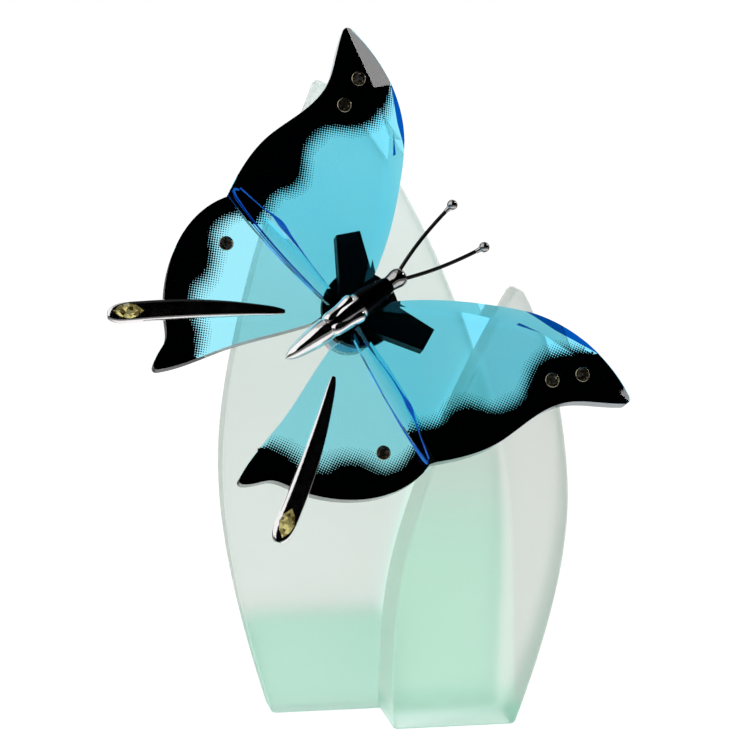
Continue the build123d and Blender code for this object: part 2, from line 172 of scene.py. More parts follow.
# Faces that the two leaves share: their left edge bows outwards with height, their right edge inwards
pair_top = 87.3 * MM
pair_left = -0.8 * MM
pair_left_bow = 27.3 * MM
pair_left_power = 2.2
pair_right = 24.2 * MM
pair_right_bow = -9.8 * MM
pair_right_power = 2.0
pair_right_climb = (36 * MM, 84.7 * MM)
# Painted light: heights over which the paired zone is painted paler
paired_zone_pales = (32 * MM, 56 * MM)
glue_edge = 0.6 * MM
past_stand = 100 * MM
# Painted light: heights over which bare glass is painted paler
glass_pales = (60 * MM, 115 * MM)


def make_glue_and_painted_light_group():
    """Zones of the ground faces: Pair between the leaves and Foot along the floor, where glue wets them, and High
    Pale higher up; frosted_glass paints light and shade into them.
    """
    inputs = {
        "Vector": "NodeSocketVector",
        "Foot Height": 18.5 * MM,
        "Soft Edge": 3.0 * MM,
        "Foot Right": past_stand,
    }
    tree, entry, leave = start_group("glue_and_painted_light", "ShaderNodeTree", inputs, ["Pair", "High Pale", "Foot"])
    split = add_node(tree, "ShaderNodeSeparateXYZ", {"Vector": entry["Vector"]})
    across = split.outputs["X"]
    height = split.outputs["Z"]
    rise = math_value(tree, "DIVIDE", height, pair_top, clamp=True)
    left_bow = math_value(tree, "POWER", rise, pair_left_power)
    left = math_value(tree, "MULTIPLY_ADD", left_bow, pair_left_bow, pair_left)
    inside_left = smooth_step(tree, math_value(tree, "SUBTRACT", across, left), -1.2 * MM, 0.2 * MM)
    low, high = pair_right_climb
    climb = add_node(tree, "ShaderNodeMapRange", {"Value": height, "From Min": low, "From Max": high})
    right_bow = math_value(tree, "POWER", climb.outputs["Result"], pair_right_power)
    right = math_value(tree, "MULTIPLY_ADD", right_bow, pair_right_bow, pair_right)
    inside_right = smooth_step(tree, math_value(tree, "SUBTRACT", right, across), -glue_edge, glue_edge)
    below = math_value(tree, "SUBTRACT", entry["Foot Height"], height)
    beside = math_value(tree, "SUBTRACT", entry["Foot Right"], across)
    near_floor = smooth_step(tree, below, 0.0, entry["Soft Edge"])
    inside_foot = smooth_step(tree, beside, -glue_edge, glue_edge)
    tree.links.new(math_value(tree, "MULTIPLY", inside_left, inside_right), leave["Pair"])
    tree.links.new(smooth_step(tree, height, *paired_zone_pales), leave["High Pale"])
    tree.links.new(math_value(tree, "MULTIPLY", near_floor, inside_foot), leave["Foot"])
    return tree


# Cut edges of the forewings, in wing sheet coordinates
facet_soft = 0.08 * MM
facet_upper_side = 3.4 * MM
rear_root = 3.0 * MM
rear_curve = 2.917
rear_slope = -0.2016
band_side_shift = 0.3 * MM


def make_facet_group():
    """Where the forewing's cut edges differ: Deep on slivers and rear edge, Band along the rear bevel; both are
    painted light, dark-blue refraction lines and a pale fill.
    """
    inputs = {"Vector": "NodeSocketVector", "Line Width": 0.11 * MM}
    tree, entry, leave = start_group("forewing_facets", "ShaderNodeTree", inputs, ["Deep", "Band"])
    split = on_wing_sheet(tree, entry["Vector"])
    across = math_value(tree, "ABSOLUTE", split["X"])
    along = split["Y"]

    def past_line(start, end):
        """Distance ahead of the straight line through two places in millimetres."""
        slope = (end[1] - start[1]) / (end[0] - start[0])
        level = (start[1] - slope * start[0]) * MM
        return math_value(tree, "SUBTRACT", along, math_value(tree, "MULTIPLY_ADD", across, slope, level))

    def inside(value):
        return smooth_step(tree, value, -facet_soft, facet_soft)

    def product(first, second):
        return math_value(tree, "MULTIPLY", first, second)

    # Slivers near the tip, painted dark blue as refraction in the facets, only on the upper side, and further in
    # on the left wing
    side = math_value(tree, "SIGN", split["X"])
    slant = math_value(tree, "MULTIPLY_ADD", side, -0.55 * MM, 0.3 * MM)
    lower_cut = past_line((21.8, 31.3), (25.2, 32.6))
    upper_cut = past_line((25.2, 32.6), (32.25, 36.3))
    upper_side = inside(math_value(tree, "ADD", split["Z"], facet_upper_side))
    edge_sliver = inside(math_value(tree, "ADD", math_value(tree, "MINIMUM", lower_cut, upper_cut), slant))
    sliver_top = inside(product(past_line((20.2, 27.6), (24.4, 30.0)), -1.0))
    sliver_low = inside(past_line((20.3, 26.9), (24.4, 30.0)))
    sliver_end = inside(math_value(tree, "SUBTRACT", across, 20.2 * MM))
    inner_sliver = product(product(sliver_top, sliver_low), sliver_end)
    slivers = product(math_value(tree, "MAXIMUM", edge_sliver, inner_sliver), upper_side)

    # Rear edge line, a shallow bow from the root painted as a dark-blue refraction line, and the pale band ahead
    # of it, a painted fill where light passes the rear bevel
    from_root = math_value(tree, "SUBTRACT", across, rear_root)
    rear_bow = math_value(tree, "MULTIPLY_ADD", from_root, rear_curve, rear_slope)
    rear_line = math_value(tree, "SUBTRACT", along, product(from_root, rear_bow))
    off_rear = math_value(tree, "ABSOLUTE", rear_line)
    rear_edge = inside(math_value(tree, "SUBTRACT", entry["Line Width"], off_rear))
    band_root = past_line((7.0, 0.9), (20.0, 0.6))
    band_end = past_line((20.0, 0.6), (32.0, -2.2))
    past_band = math_value(tree, "MAXIMUM", band_root, band_end)
    band_line = math_value(tree, "MULTIPLY_ADD", side, band_side_shift, past_band)
    tree.links.new(math_value(tree, "MAXIMUM", slivers, rear_edge), leave["Deep"])
    tree.links.new(inside(product(band_line, -1.0)), leave["Band"])
    return tree


mottle = make_mottle_group()
grain = make_grain_group()
glue_and_painted_light = make_glue_and_painted_light_group()
facet_marks = make_facet_group()


def start_material(name):
    """Material with a Principled shader, and its Object coordinates."""
    material = bpy.data.materials.new(name)
    material.use_nodes = True
    tree = material.node_tree
    shader = tree.nodes["Principled BSDF"]
    place = tree.nodes.new("ShaderNodeTexCoord").outputs["Object"]
    return material, tree, shader, place


def use_group(tree, group, inputs):
    return add_node(tree, "ShaderNodeGroup", inputs, node_tree=group)


def set_sockets(shader, values):
    for key, value in values.items():
        shader.inputs[key].default_value = value


def blend_colour(tree, factor, first, second):
    inputs = {"Factor": factor, "A": first, "B": second}
    return add_node(tree, "ShaderNodeMix", inputs, data_type="RGBA").outputs["Result"]


def cloudy_roughness(tree, shader, place, scale, low, high):
    cloud = use_group(tree, mottle, {"Vector": place, "Scale": scale, "Low": low, "High": high})
    tree.links.new(cloud.outputs["Value"], shader.inputs["Roughness"])


def cloudy_colour(tree, shader, place, scale, first, second):
    """Base colour that drifts between two near shades."""
    cloud = use_group(tree, mottle, {"Vector": place, "Scale": scale})
    tree.links.new(blend_colour(tree, cloud.outputs["Value"], first, second), shader.inputs["Base Color"])


def grainy_normal(tree, shader, place, grain_scale, swell_scale, swell_share, depth, strength):
    height = use_group(
        tree,
        grain,
        {
            "Vector": place,
            "Grain Scale": grain_scale,
            "Swell Scale": swell_scale,
            "Swell Share": swell_share,
        },
    )
    bump = add_node(
        tree,
        "ShaderNodeBump",
        {"Height": height.outputs["Height"], "Distance": depth, "Strength": strength},
    )
    tree.links.new(bump.outputs["Normal"], shader.inputs["Normal"])


def absorb(tree, colour, density):
    """Tints what passes through the solid, more where it is thick."""
    volume = add_node(tree, "ShaderNodeVolumeAbsorption", {"Color": colour, "Density": density})
    output = tree.nodes["Material Output"]
    tree.links.new(volume.outputs["Volume"], output.inputs["Volume"])


def frosted_glass(name, shades, colour, density, foot_height, soft_edge, foot_right):
    """Ground glass: shades of bare glass low and high, of the paired zone low and high, and of the floor zone; the
    differences are painted light, paler higher up, greener where light passes both leaves, and a shade of its own
    near the floor.
    """
    ground, high, paired_tone, paired_tone_high, foot = shades
    material, tree, shader, place = start_material(name)
    set_sockets(shader, {"IOR": 1.5, "Transmission Weight": 0.9})
    glue = use_group(
        tree,
        glue_and_painted_light,
        {"Vector": place, "Foot Height": foot_height, "Soft Edge": soft_edge, "Foot Right": foot_right},
    ).outputs
    split = add_node(tree, "ShaderNodeSeparateXYZ", {"Vector": place})
    # Painted light: paler higher up, greener in the paired zone, a shade of its own in the floor zone
    rise = smooth_step(tree, split.outputs["Z"], *glass_pales)
    cloud = use_group(tree, mottle, {"Vector": place, "Scale": 90.0, "Low": -0.1, "High": 0.1})
    cloudy = math_value(tree, "ADD", rise, cloud.outputs["Value"], clamp=True)
    bare = blend_colour(tree, cloudy, ground, high)
    paired_tone_by_height = blend_colour(tree, glue["High Pale"], paired_tone, paired_tone_high)
    paired = blend_colour(tree, glue["Pair"], bare, paired_tone_by_height)
    tree.links.new(blend_colour(tree, glue["Foot"], paired, foot), shader.inputs["Base Color"])
    wet = math_value(tree, "MAXIMUM", glue["Pair"], glue["Foot"])
    haze = use_group(tree, mottle, {"Vector": place, "Scale": 260.0, "Low": 0.5, "High": 0.58})
    smoother = add_node(
        tree,
        "ShaderNodeMix",
        {"Factor": wet, "A": haze.outputs["Value"], "B": 0.46},
        data_type="FLOAT",
    )
    tree.links.new(smoother.outputs["Result"], shader.inputs["Roughness"])
    grainy_normal(tree, shader, place, 2600.0, 240.0, 0.6, 0.05 * MM, 0.15)
    absorb(tree, colour, density)
    return material


def clear_crystal(name, colour, density, ior):
    material, tree, shader, place = start_material(name)
    set_sockets(shader, {"IOR": ior, "Transmission Weight": 1.0, "Base Color": (1, 1, 1, 1)})
    cloudy_roughness(tree, shader, place, 160.0, 0.0, 0.02)
    absorb(tree, colour, density)
    return material


def top_facing(tree):
    """Normal of the skin, the way out of the wing tops, and how far the skin faces that way."""
    skin = add_node(tree, "ShaderNodeNewGeometry").outputs["Normal"]
    upwards = add_node(
        tree,
        "ShaderNodeVectorTransform",
        {"Vector": peg_up},
        vector_type="VECTOR",
        convert_from="OBJECT",
        convert_to="WORLD",
    ).outputs["Vector"]
    facing = add_node(tree, "ShaderNodeVectorMath", {0: skin, 1: upwards}, operation="DOT_PRODUCT")
    return skin, upwards, facing.outputs["Value"]


def leaning_normal(tree, factor, skin, upwards):
    """Normal turned from the skin's own towards the way out of the wing tops."""
    flatter = add_node(tree, "ShaderNodeMix", {"Factor": factor}, data_type="VECTOR")
    tree.links.new(skin, flatter.inputs[4])
    tree.links.new(upwards, flatter.inputs[5])
    facing_out = add_node(tree, "ShaderNodeVectorMath", {0: flatter.outputs[1]}, operation="NORMALIZE")
    return facing_out.outputs["Vector"]


def wing_crystal(name, shade, light, band, deep, colour, density, ior):
    """Clear crystal whose skin drifts between two shades, with painted light on its rear bevel and its slivers: a
    pale fill and dark-blue refraction lines.
    """
    material = clear_crystal(name, colour, density, ior)
    tree = material.node_tree
    shader = tree.nodes["Principled BSDF"]
    place = tree.nodes["Texture Coordinate"].outputs["Object"]
    marks = use_group(tree, facet_marks, {"Vector": place})
    cloud = use_group(tree, mottle, {"Vector": place, "Scale": 42.0})
    drift = blend_colour(tree, cloud.outputs["Value"], shade, light)
    # Painted light: a pale fill on the rear bevel, dark-blue refraction lines on the slivers and rear edge
    skin = blend_colour(tree, marks.outputs["Band"], drift, band)
    tree.links.new(blend_colour(tree, marks.outputs["Deep"], skin, deep), shader.inputs["Base Color"])
    own_normal, upwards, facing = top_facing(tree)
    outside = math_value(tree, "GREATER_THAN", facing, 0.2)
    flat_band = math_value(tree, "MULTIPLY", outside, marks.outputs["Band"])
    normal = leaning_normal(tree, flat_band, own_normal, upwards)
    tree.links.new(normal, shader.inputs["Normal"])
    return material


def cut_gem(name, dark, light, colour, density, ior, cells):
    """Foil-backed gem: facets of dark and light shades, painted facet shade and sparkle, that each lean their own
    way.
    """
    material, tree, shader, place = start_material(name)
    set_sockets(
        shader,
        {"IOR": ior, "Metallic": 0.5, "Transmission Weight": 0.3, "Specular IOR Level": 0.25},
    )
    facets = add_node(tree, "ShaderNodeTexVoronoi", {"Vector": place, "Scale": cells, "Randomness": 0.85})
    split = add_node(tree, "ShaderNodeSeparateColor", {"Color": facets.outputs["Color"]})
    spread = add_node(
        tree,
        "ShaderNodeMapRange",
        {"Value": split.outputs["Red"], "From Min": 0.1, "From Max": 0.7},
    )
    lean = add_node(
        tree,
        "ShaderNodeVectorMath",
        {0: facets.outputs["Color"], 1: (-0.5, -0.5, -0.5)},
        operation="ADD",
    )
    skin = add_node(tree, "ShaderNodeNewGeometry")
    leaning = add_node(
        tree,
        "ShaderNodeVectorMath",
        {0: lean.outputs["Vector"], 1: (1.2, 1.2, 1.2), 2: skin.outputs["Normal"]},
        operation="MULTIPLY_ADD",
    )
    facing = add_node(tree, "ShaderNodeVectorMath", {0: leaning.outputs["Vector"]}, operation="NORMALIZE")
    tree.links.new(facing.outputs["Vector"], shader.inputs["Normal"])
    # Painted light: random dark and light facets stand in for facet shade and sparkle
    tree.links.new(blend_colour(tree, spread.outputs["Result"], dark, light), shader.inputs["Base Color"])
    cloudy_roughness(tree, shader, place, 400.0, 0.02, 0.06)
    absorb(tree, colour, density)
    return material


def opaque_finish(name, sockets, drift, haze, relief=None):
    """Drift is a scale and two shades, haze a scale and two roughnesses, relief what grainy_normal takes."""
    material, tree, shader, place = start_material(name)
    set_sockets(shader, sockets)
    cloudy_colour(tree, shader, place, *drift)
    cloudy_roughness(tree, shader, place, *haze)
    if relief:
        grainy_normal(tree, shader, place, *relief)
    return material


def plated_metal(name, first, second, low, high):
    """Polished plating with a slow swell and a faint haze."""
    relief = (1800.0, 260.0, 1.5, 0.02 * MM, 0.25)
    return opaque_finish(name, {"Metallic": 1.0}, (220.0, first, second), (500.0, low, high), relief)


def tail_plate(name, first, second, low, high):
    """Plating on bars whose top is nearly flat between rounded edges."""
    material = plated_metal(name, first, second, low, high)
    tree = material.node_tree
    skin, upwards, facing = top_facing(tree)
    flatness = smooth_step(tree, facing, 0.25, 0.75, 0.0, 0.65)
    normal = leaning_normal(tree, flatness, skin, upwards)
    tree.links.new(normal, tree.nodes["Bump"].inputs["Normal"])
    return material


# Bright lobes of the thorax: where they begin beside its middle line and where they end ahead
lobe_gap = (0.3 * MM, 0.6 * MM)
lobe_front = (3.9 * MM, 3.2 * MM)


def thorax_plate(name, lobe_colour, back_colour):
    """Blackened plating, bright on the two lobes at the rear."""
    material = plated_metal(name, back_colour, back_colour, 0.04, 0.1)
    tree = material.node_tree
    shader = tree.nodes["Principled BSDF"]
    place = tree.nodes["Texture Coordinate"].outputs["Object"]
    split = on_wing_sheet(tree, place)
    across = math_value(tree, "ABSOLUTE", split["X"])
    beside = smooth_step(tree, across, *lobe_gap)
    behind = smooth_step(tree, split["Y"], *lobe_front)
    lobes = math_value(tree, "MULTIPLY", beside, behind)
    tree.links.new(blend_colour(tree, lobes, back_colour, lobe_colour), shader.inputs["Base Color"])
    return material


bright_shades = ((0.84, 0.82, 0.81, 1), (0.94, 0.92, 0.915, 1))
glass_tint = (0.2, 0.94, 0.76, 1)

# Finishes by the material slots of the record
finishes = {
    "frosted_glass": frosted_glass(
        "frosted_glass",
        # Bare glass low and high, paired zone low and high, floor zone: painted light as frosted_glass says
        shades=[
            (0.84, 0.84, 0.81, 1),
            (0.95, 0.96, 0.94, 1),
            (0.81, 1.0, 0.93, 1),
            (0.94, 0.97, 0.94, 1),
            (0.72, 0.91, 0.82, 1),
        ],
        colour=glass_tint,
        density=12.0,
        foot_height=23.2 * MM,
        soft_edge=6.5 * MM,
        foot_right=-0.4 * MM,
    ),
    "blue_crystal": wing_crystal(
        "blue_crystal",
        shade=(0.36, 0.865, 1.0, 1),
        light=(0.53, 0.905, 1.0, 1),
        # Painted light: a pale fill for the rear bevel and dark-blue refraction lines
        band=(1.0, 1.0, 1.0, 1),
        deep=(0.0, 0.012, 0.24, 1),
        colour=(0.081, 0.861, 1.0, 1),
        density=210.0,
        ior=1.52,
    ),
    "yellow_crystal": cut_gem(
        "yellow_crystal",
        dark=(0.12, 0.09, 0.004, 1),
        light=(1.0, 0.88, 0.34, 1),
        colour=(0.93, 0.86, 0.3, 1),
        density=300.0,
        ior=1.65,
        cells=1150.0,
    ),
    "smoke_crystal": cut_gem(
        "smoke_crystal",
        dark=(0.001, 0.001, 0.001, 1),
        light=(0.035, 0.03, 0.018, 1),
        colour=(0.2, 0.18, 0.1, 1),
        density=2500.0,
        ior=1.6,
        cells=1700.0,
    ),
    "bright_plate": plated_metal("bright_plate", *bright_shades, 0.03, 0.08),
    "black_metal": opaque_finish(
        "black_metal",
        {"Specular IOR Level": 0.05},
        drift=(500.0, (0.0005, 0.0005, 0.0006, 1), (0.002, 0.002, 0.0022, 1)),
        haze=(700.0, 0.32, 0.5),
        relief=(5000.0, 600.0, 0.4, 0.02 * MM, 0.3),
    ),
    "mount_steel": opaque_finish(
        "mount_steel",
        {"Metallic": 1.0},
        drift=(400.0, (0.52, 0.52, 0.53, 1), (0.64, 0.64, 0.64, 1)),
        haze=(900.0, 0.22, 0.38),
        relief=(6000.0, 900.0, 0.4, 0.02 * MM, 0.4),
    ),
    "sleeve_nylon": opaque_finish(
        "sleeve_nylon",
        {},
        drift=(300.0, (0.78, 0.77, 0.72, 1), (0.86, 0.85, 0.81, 1)),
        haze=(600.0, 0.42, 0.58),
        relief=(4000.0, 500.0, 0.5, 0.02 * MM, 0.3),
    ),
}
hind_crystal = clear_crystal("blue_crystal_hind", (0.314, 0.905, 1.0, 1), 420.0, 1.52)
wire_plate = plated_metal("wire_plate", (0.015, 0.015, 0.017, 1), (0.05, 0.049, 0.048, 1), 0.05, 0.12)
smoky_plate = plated_metal("smoky_plate", (0.42, 0.41, 0.405, 1), (0.56, 0.55, 0.54, 1), 0.03, 0.08)
bar_plate = tail_plate("tail_plate", *bright_shades, 0.03, 0.08)
rim_plate = plated_metal("rim_plate", (0.60, 0.53, 0.33, 1), (0.78, 0.71, 0.50, 1), 0.08, 0.16)
ink = opaque_finish(
    "black_print",
    {"Specular IOR Level": 0.0},
    drift=(900.0, (0.0004, 0.0004, 0.0005, 1), (0.001, 0.001, 0.0012, 1)),
    haze=(1200.0, 0.4, 0.6),
)
# Painted reflection: a matt grey skin just inside the wings' outer walls stands in for the grey they reflect
painted_wall_reflection = opaque_finish(
    "painted_wall_reflection",
    {"Specular IOR Level": 0.2},
    drift=(700.0, (0.13, 0.13, 0.145, 1), (0.24, 0.24, 0.25, 1)),
    haze=(1500.0, 0.6, 0.8),
    relief=(7000.0, 900.0, 0.4, 0.02 * MM, 0.5),
)
# Painted glint: bright blue strips stand in for light caught in the crystal's cut edge
blue_glint = opaque_finish(
    "blue_glint",
    {"Specular IOR Level": 0.3},
    drift=(260.0, (0.0, 0.06, 0.65, 1), (0.02, 0.28, 1.0, 1)),
    haze=(900.0, 0.3, 0.5),
)

# Pieces whose finish differs from the one that their slot usually has
own_finishes = {
    # Front leaf and rear foot: their shades are painted light as in frosted_glass
    "short_leaf": frosted_glass(
        "frosted_glass_front",
        shades=[
            (0.81, 0.79, 0.76, 1),
            (0.74, 0.78, 0.77, 1),
            (0.86, 0.95, 0.86, 1),
            (0.92, 0.91, 0.88, 1),
            (0.52, 0.79, 0.66, 1),
        ],
        colour=glass_tint,
        density=8.0,
        foot_height=6 * MM,
        soft_edge=3.5 * MM,
        foot_right=past_stand,
    ),
    "rear_foot": frosted_glass(
        "frosted_glass_foot",
        shades=[(0.92, 1.0, 0.96, 1)] * 4 + [(0.95, 1.0, 0.97, 1)],
        colour=glass_tint,
        density=12.0,
        foot_height=18.5 * MM,
        soft_edge=3 * MM,
        foot_right=past_stand,
    ),
    "hindwing_left": hind_crystal,
    "hindwing_right": hind_crystal,
    "thorax": thorax_plate("thorax_plate", (0.9, 0.88, 0.875, 1), (0.003, 0.003, 0.004, 1)),
    "head": smoky_plate,
    "antenna_left": wire_plate,
    "antenna_right": wire_plate,
    "antenna_knob_left": smoky_plate,
    "antenna_knob_right": smoky_plate,
    "tail_left": bar_plate,
    "tail_right": bar_plate,
}

for subpart in frame["record"]["subparts"]:
    node = subpart["node"]
    usual = finishes[subpart["material_slot"]]
    frame["nodes"][node].material_slots[0].material = own_finishes.get(node, usual)


# Wing print: a black margin on the underside of each crystal, which ends in rows of shrinking dots
print_gap = 0.03 * MM
print_thickness = 0.03 * MM
print_inset = 0.1 * MM
low_wall = 1.2 * MM
wall_gap = 0.1 * MM
edge_inset = 0.02 * MM
edge_thickness = 0.03 * MM
dot_pitch = 0.46 * MM
largest_dot = 0.62 * dot_pitch
screen_size = 110 * MM
screen_turns = {"left": 0.81, "right": 0.51}
fade_trim = 0.8
smallest_share = 0.22
weld_distance = 0.001 * MM
faces_down = -0.999
wing_root = 8 * MM
forewing_far = (44, 34)
hindwing_far = (27, -21)
print_steps = 10
glint_steps = 8
rows_past_tip = 3
forewing_wall_ahead_of = -1.6 * MM
hindwing_wall_behind = -3.5 * MM

# Inner edge of the solid print in wing sheet millimetres, across and ahead, with own lobes
forewing_edge = [
    (33.4, 36.4), (32.0, 34.4), (30.3, 31.6), (29.1, 28.4), (29.6, 25.4), (31.2, 22.8), (32.8, 20.4),
    (33.2, 17.6), (32.4, 14.8), (30.8, 12.6), (28.9, 11.0), (27.5, 9.2), (27.2, 7.0), (27.8, 4.8),
    (27.5, 2.4), (26.3, 0.2), (25.4, -2.0), (24.8, -2.7),
]
forewing_fade = [1.6, 2.2, 2.6, 3.0, 2.8, 2.6, 3.0, 3.6, 3.2, 2.8, 3.0, 3.4, 3.0, 2.8, 3.0, 2.8, 2.4, 2.0]
hindwing_edge = [
    (28.6, -2.0), (29.8, -5.0), (30.0, -7.6), (29.0, -10.2), (27.0, -11.8), (24.6, -13.4), (22.9, -16.0),
    (22.6, -18.8), (20.8, -21.2), (18.6, -22.8), (16.6, -23.4), (14.4, -24.1), (12.2, -25.6), (10.75, -26.8),
]
hindwing_fade = [2.0, 2.8, 3.6, 3.8, 4.2, 3.6, 3.8, 4.4, 3.8, 3.6, 3.8, 3.6, 3.0, 2.2]


def underside_outline(node):
    """Ordered outline of a wing's flat underside, in wing sheet coordinates."""
    shell = bmesh.new()
    shell.from_mesh(frame["nodes"][node].data)
    bmesh.ops.remove_doubles(shell, verts=shell.verts, dist=weld_distance)
    floor_faces = {f for f in shell.faces if f.normal.dot(peg_up) < faces_down}
    rim = [e for e in shell.edges if len([f for f in e.link_faces if f in floor_faces]) == 1]
    followers = {}
    for edge in rim:
        for vert in edge.verts:
            followers.setdefault(vert, []).append(edge)
    vert = rim[0].verts[0]
    edge = rim[0]
    outline = []
    while True:
        outline.append((to_wing_sheet @ vert.co).to_2d())
        vert = edge.other_vert(vert)
        edge = next(e for e in followers[vert] if e is not edge)
        if vert is rim[0].verts[0]:
            break
    shell.free()
    return outline


def smooth_line(points, steps):
    """Catmull-Rom line through points of any dimension."""
    line = []
    padded = [points[0]] + points + [points[-1]]
    for before, start, end, after in zip(padded, padded[1:], padded[2:], padded[3:]):
        for step in range(steps):
            t = step / steps
            row = []
            for a, b, c, d in zip(before, start, end, after):
                bend = 2 * a - 5 * b + 4 * c - d
                row.append(0.5 * (2 * b + (c - a) * t + bend * t * t + (3 * b - a - 3 * c + d) * t**3))
            line.append(tuple(row))
    line.append(tuple(points[-1]))
    return line


def moved_inwards(outline, distance):
    """Closed outline moved inwards."""
    area = sum(a.x * b.y - b.x * a.y for a, b in zip(outline, outline[1:] + outline[:1]))
    turn = math.copysign(1, area)
    moved = []
    for before, here, after in zip(outline[-1:] + outline[:-1], outline, outline[1:] + outline[:1]):
        along = (after - before).normalized()
        moved.append(here + Vector((-along.y, along.x)) * turn * distance)
    return moved


def outline_between(outline, first, last, far_point):
    """The run of an outline from near first to near last that passes far_point."""
    start = min(range(len(outline)), key=lambda i: (outline[i] - first).length)
    stop = min(range(len(outline)), key=lambda i: (outline[i] - last).length)
    count = len(outline)
    forward = [outline[(start + i) % count] for i in range((stop - start) % count + 1)]
    backward = [outline[(start - i) % count] for i in range((start - stop) % count + 1)]
    nearest = min(outline, key=lambda p: (p - far_point).length)
    return forward if nearest in forward else backward


def flat_plate(mesh, outline, low, high):
    """Adds a flat closed plate of the outline's shape between two heights."""
    flat = [Vector((p.x, p.y, 0)) for p in outline]
    count = len(flat)
    upper = [mesh.verts.new((p.x, p.y, high)) for p in flat]
    lower = [mesh.verts.new((p.x, p.y, low)) for p in flat]
    for a, b, c in tessellate_polygon([flat]):
        mesh.faces.new((upper[a], upper[b], upper[c]))
        mesh.faces.new((lower[c], lower[b], lower[a]))
    for i in range(count):
        j = (i + 1) % count
        mesh.faces.new((upper[i], lower[i], lower[j], upper[j]))


def upright_strip(mesh, first_line, second_line, low, high):
    """Adds a closed thin wall between two parallel lines."""
    rings = []
    for a, b in zip(first_line, second_line):
        rings.append([mesh.verts.new((p.x, p.y, z)) for p, z in ((a, low), (a, high), (b, high), (b, low))])
    for here, after in zip(rings, rings[1:]):
        for i in range(4):
            j = (i + 1) % 4
            mesh.faces.new((here[i], here[j], after[j], after[i]))
    mesh.faces.new(rings[0][::-1])
    mesh.faces.new(rings[-1])


def tapered_strip(mesh, rows, side, level):
    """Adds a thin flat strip along rows of across, ahead and width in millimetres."""
    line = smooth_line([(x * MM * side, y * MM, width * MM) for x, y, width in rows], glint_steps)
    spots = [Vector(row[:2]) for row in line]
    one_side = []
    other_side = []
    for i, (here, row) in enumerate(zip(spots, line)):
        along = (spots[min(i + 1, len(spots) - 1)] - spots[max(i - 1, 0)]).normalized()
        half = Vector((-along.y, along.x)) * row[2] / 2
        one_side.append(here + half)
        other_side.append(here - half)
    flat_plate(mesh, one_side + other_side[::-1], level, level + edge_thickness)


def mesh_from_nodes(name, holder_mesh, tree, values):
    """Plain mesh of what a Geometry Nodes tree makes of another mesh."""
    holder = bpy.data.objects.new(name, holder_mesh)
    bpy.context.scene.collection.objects.link(holder)
    sockets = {item.name: item.identifier for item in tree.interface.items_tree if item.in_out == "INPUT"}
    modifier = holder.modifiers.new(name, "NODES")
    modifier.node_group = tree
    for label, value in values.items():
        modifier[sockets[label]] = value
    graph = bpy.context.evaluated_depsgraph_get()
    made = bpy.data.meshes.new_from_object(holder.evaluated_get(graph))
    holder.modifiers.remove(modifier)
    bpy.data.objects.remove(holder)
    return made


